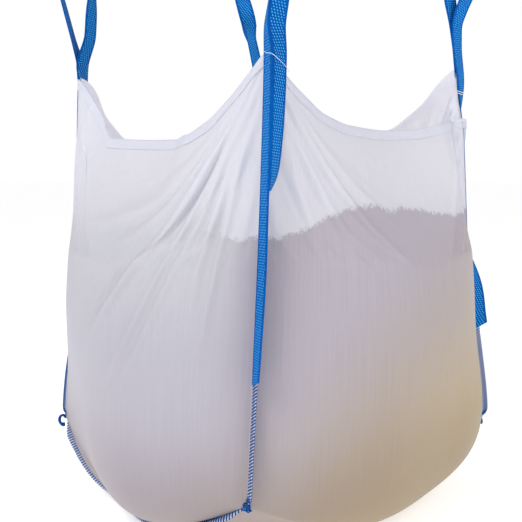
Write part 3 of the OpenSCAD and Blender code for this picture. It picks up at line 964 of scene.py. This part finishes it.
def loop(place):
    rows = strip(place)
    first, last = rows[3:]
    count = len(rows[0]) - 1
    long_leg = webbing_object(f"long_leg_{place}_webbing", [webbing(rows, 0, first, 0.35, ends=(0,))])
    short_leg = webbing_object(f"short_leg_{place}_webbing", [webbing(rows, last, count, ends=(count,))])
    for obj, kind in ((long_leg, "long"), (short_leg, "short")):
        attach(obj, "bag")
        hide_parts(f"{kind}_leg_{place}")
    neck = webbing_object(f"loop_neck_{place}_webbing", [
        webbing(rows, first, first + NECK_ROWS), webbing(rows, last - NECK_ROWS, last)])
    eye = webbing_object(f"loop_eye_{place}_webbing", [webbing(rows, first + NECK_ROWS, last - NECK_ROWS)])
    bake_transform(neck)
    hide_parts(f"loop_neck_{place}")
    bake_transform(eye)
    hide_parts(f"loop_eye_{place}")
    thread, slot = (WHITE_THREAD, "white_thread") if place == FAR_LEFT else (BLUE_THREAD, "blue_thread")
    on_legs = seams_on(rows, 3, first - 1) + seams_on(rows, last + 1, count - 3)
    dress(mesh_object(f"leg_stitching_{place}_stitches", *joined(on_legs)), thread, "bag", slot,
          f"leg_stitching_{place}")
    on_neck = seams_on(rows, first + 1, first + 7) + seams_on(rows, last - 7, last - 1)
    stitching = mesh_object(f"neck_stitching_{place}_stitches", *joined(on_neck))
    stitching.data.materials.append(thread)
    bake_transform(stitching)
    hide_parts(f"neck_stitching_{place}")


for place in CORNERS:
    loop(place)


# ---- Overlock threads ----

def overlock(path, out, off, reach=0.024, thick=0.0022, pitch=0.0072, lean=0.005, radius=0.0016):
    """A thread wound round a fin's edge. It slants, so that it lies higher at the edge than on the faces."""
    along = lengths(path)
    at = np.linspace(lean, along[-1] - lean, int(along[-1] / pitch * 12))
    turn = 2 * np.pi * at / pitch
    middle, o, f = sampled(along, at + lean * np.cos(turn), path, out, off)
    reached = reach / 2 * (np.cos(turn) - 1) + 0.001
    return tube(middle + o * reached[:, None] + f * (thick * np.sin(turn))[:, None], radius, 5)


for place in CORNERS:
    v = np.linspace(0.012, 0.985, 200)
    out, off = fin_dir(place, v), fin_side(place, v)
    edge = seam_at(place, v) + out * fin_width(v)[:, None]
    thread = mesh_object(f"corner_overlock_{place}_thread", *overlock(edge, out, off))
    dress(thread, BLUE_THREAD, "bag", "blue_thread", f"corner_overlock_{place}")

for q, name in ((-1, "front"), (1, "rear")):
    edge, out = skirt(np.linspace(-0.985, 0.985, 160), q)
    off = unit(np.cross(out, np.gradient(edge, axis=0)))
    winding = overlock(edge, out, off, 0.017, pitch=0.0088, lean=0.0025, radius=0.0018)
    thread = mesh_object(f"bottom_overlock_{name}_thread", *winding)
    dress(thread, BLUE_THREAD, "bag", "blue_thread", f"bottom_overlock_{name}")


# ---- Loose cords and tails ----

def curve(points, count=60):
    """A smooth path through a few points."""
    points = np.asarray(points, float)
    fine = finer(points, 8, 0)
    along = lengths(fine)
    return sampled(along, np.linspace(0, along[-1], count), fine)[0]


def tail(place, curl_r, sweep, node):
    """The loose end of an overlock chain: a few strands that curl out from a floor corner and down."""
    start = BODY_R - 0.014 - DRAWN_IN[place][0]
    turn = np.radians(150 - np.linspace(0, sweep, 40))
    strands = []
    for k in range(3):
        wobble = 0.0024 * np.stack([np.sin(turn * 9 + 2 * k), np.cos(turn * 7 + 2 * k)])
        r = start + curl_r + (curl_r + wobble[0]) * np.cos(turn)
        h = CORNER_Z + 0.002 - TOP_Z + (1.4 * curl_r + wobble[0]) * (np.sin(turn) - 0.5)
        strands.append(tube(world(place, r, wobble[1], h), 0.0026, 5))
    dress(mesh_object(f"{node}_thread", *joined(strands)), BLUE_THREAD, "bag", "blue_thread", node)


tail("front_left", 0.010, 265, "thread_tail_front_left")
tail("rear_right", 0.007, 190, "thread_tail_rear_right")

# A thin thread that crosses the near strap at a slant
crossing = world("front_right",
                 [0.5200, 0.5290, 0.5510, 0.5745, 0.5550, 0.5335, 0.5285],
                 [-0.0150, -0.0135, -0.0050, 0.0052, 0.0240, 0.0392, 0.0370],
                 [0.002, -0.001, -0.007, -0.0126, -0.0263, -0.040, -0.043])
tie = mesh_object("tie_thread_front_right", *tube(curve(crossing), 0.0006, 5))
dress(tie, WHITE_THREAD, "bag", "white_thread", "tie_cord_front_right")


def wrap(place, v, half_w, half_t, radius):
    """A turn of cord round both legs of a loop."""
    turn = np.linspace(0, 2 * np.pi, 40)
    v = np.full(40, v) + 0.002 * np.sin(turn)
    middle = seam_at(place, v) + fin_dir(place, v) * (LEG_IN + WEB_W / 2)
    wide = half_w * np.sign(np.cos(turn)) * abs(np.cos(turn)) ** 0.5
    deep = half_t * np.sign(np.sin(turn)) * abs(np.sin(turn)) ** 0.5
    return tube(middle + fin_dir(place, v) * wide[:, None] + fin_side(place, v) * deep[:, None], radius, 6)


def knot(centre, size, radius, seed):
    """A small tangle of thread."""
    rng = np.random.default_rng(seed)
    turn = np.linspace(0, 4 * np.pi, 90)
    a, b, c = rng.uniform(0, 6, 3)
    x = np.sin(turn + a) + 0.5 * np.sin(2.5 * turn + b)
    path = np.stack([x, np.cos(turn * 1.5 + b), np.sin(1.5 * turn + c)], -1)
    return tube(centre + path * size * [0.6, 0.6, 0.8], radius, 6)


cords = [wrap("rear_right", v, 0.0275, 0.0062, 0.0009) for v in (0.958, 0.964)]
low_hem = below_hem(walls[RIGHT], 0.004, 0.004)
cords.append(knot(low_hem[-1] + [0, 0, 0.002], 0.006, 0.001, 2))
hanging = low_hem[[-1, -5, -10, -15]] - np.outer([0, 0.004, 0.010, 0.020], [0, 0, 1])
cords.append(tube(curve(hanging), 0.001, 6))
dress(mesh_object("tie_cord_rear_right_cord", *joined(cords)), WHITE_THREAD, "bag", "white_thread",
      "tie_cord_rear_right")

foot = seam_at("front_right", np.array([0.0]))[0] + radial(-45) * 0.006
tangle = [knot(foot + [0, 0, 0.002], 0.010, 0.0016, seed) for seed in (5, 6)]
dress(mesh_object("overlock_knot_front_right", *joined(tangle)), BLUE_THREAD, "bag", "blue_thread")


# ---- Stage, light and camera ----

def stage():
    floor = mesh_object("floor", [(-40, -40, 0), (40, -40, 0), (40, 40, 0), (-40, 40, 0)], [(0, 1, 2, 3)])
    n = Nodes("floor")
    matt = n.add("BsdfDiffuse", {"Color": (0.9, 0.9, 0.9, 1)})
    glow = n.add("Emission", {"Color": (1, 1, 1, 1), "Strength": 0.5})
    n.put(n.out.inputs["Surface"], n.add("AddShader", {0: matt.outputs[0], 1: glow.outputs[0]}).outputs[0])
    floor.data.materials.append(n.material)
    world_light = bpy.data.worlds.new("studio")
    world_light.use_nodes = True
    tree = world_light.node_tree
    background = tree.nodes["Background"]
    seen = tree.nodes.new("ShaderNodeLightPath")
    strength = tree.nodes.new("ShaderNodeMapRange")
    strength.inputs["To Min"].default_value = 0.54
    strength.inputs["To Max"].default_value = 1.0
    tree.links.new(seen.outputs["Is Camera Ray"], strength.inputs["Value"])
    tree.links.new(strength.outputs[0], background.inputs["Strength"])
    background.inputs["Color"].default_value = (1, 1, 1, 1)
    bpy.context.scene.world = world_light
    bpy.context.scene.view_settings.view_transform = "Standard"


def area_light(name, azimuth, elevation, distance, size, power, tint=(1, 1, 1)):
    a, e = math.radians(azimuth), math.radians(elevation)
    back = Vector((math.sin(a) * math.cos(e), -math.cos(a) * math.cos(e), math.sin(e)))
    data = bpy.data.lights.new(name, "AREA")
    data.shape = "DISK"
    data.size = size
    data.energy = power
    data.color = tint
    light = bpy.data.objects.new(name, data)
    bpy.context.scene.collection.objects.link(light)
    light.location = back * distance + Vector((0, 0, 0.6))
    light.rotation_mode = "QUATERNION"
    light.rotation_quaternion = (-back).to_track_quat("-Z", "Y")


def camera():
    azimuth, distance, height = math.radians(45), 2.255, CORNER_Z + 0.72
    pan, pitch = -0.011, 0.1163
    data = bpy.data.cameras.new("camera")
    data.lens = 55.72
    data.sensor_width = 36
    cam = bpy.data.objects.new("camera", data)
    bpy.context.scene.collection.objects.link(cam)
    cam.location = (distance * math.sin(azimuth), -distance * math.cos(azimuth), height)
    cam.rotation_euler = (math.pi / 2 - pitch, 0, azimuth - pan)
    bpy.context.scene.camera = cam


stage()
area_light("key", 2, 45, 4.0, 1.8, 80)
area_light("fill", 98, 30, 4.0, 3.0, 54)
camera()
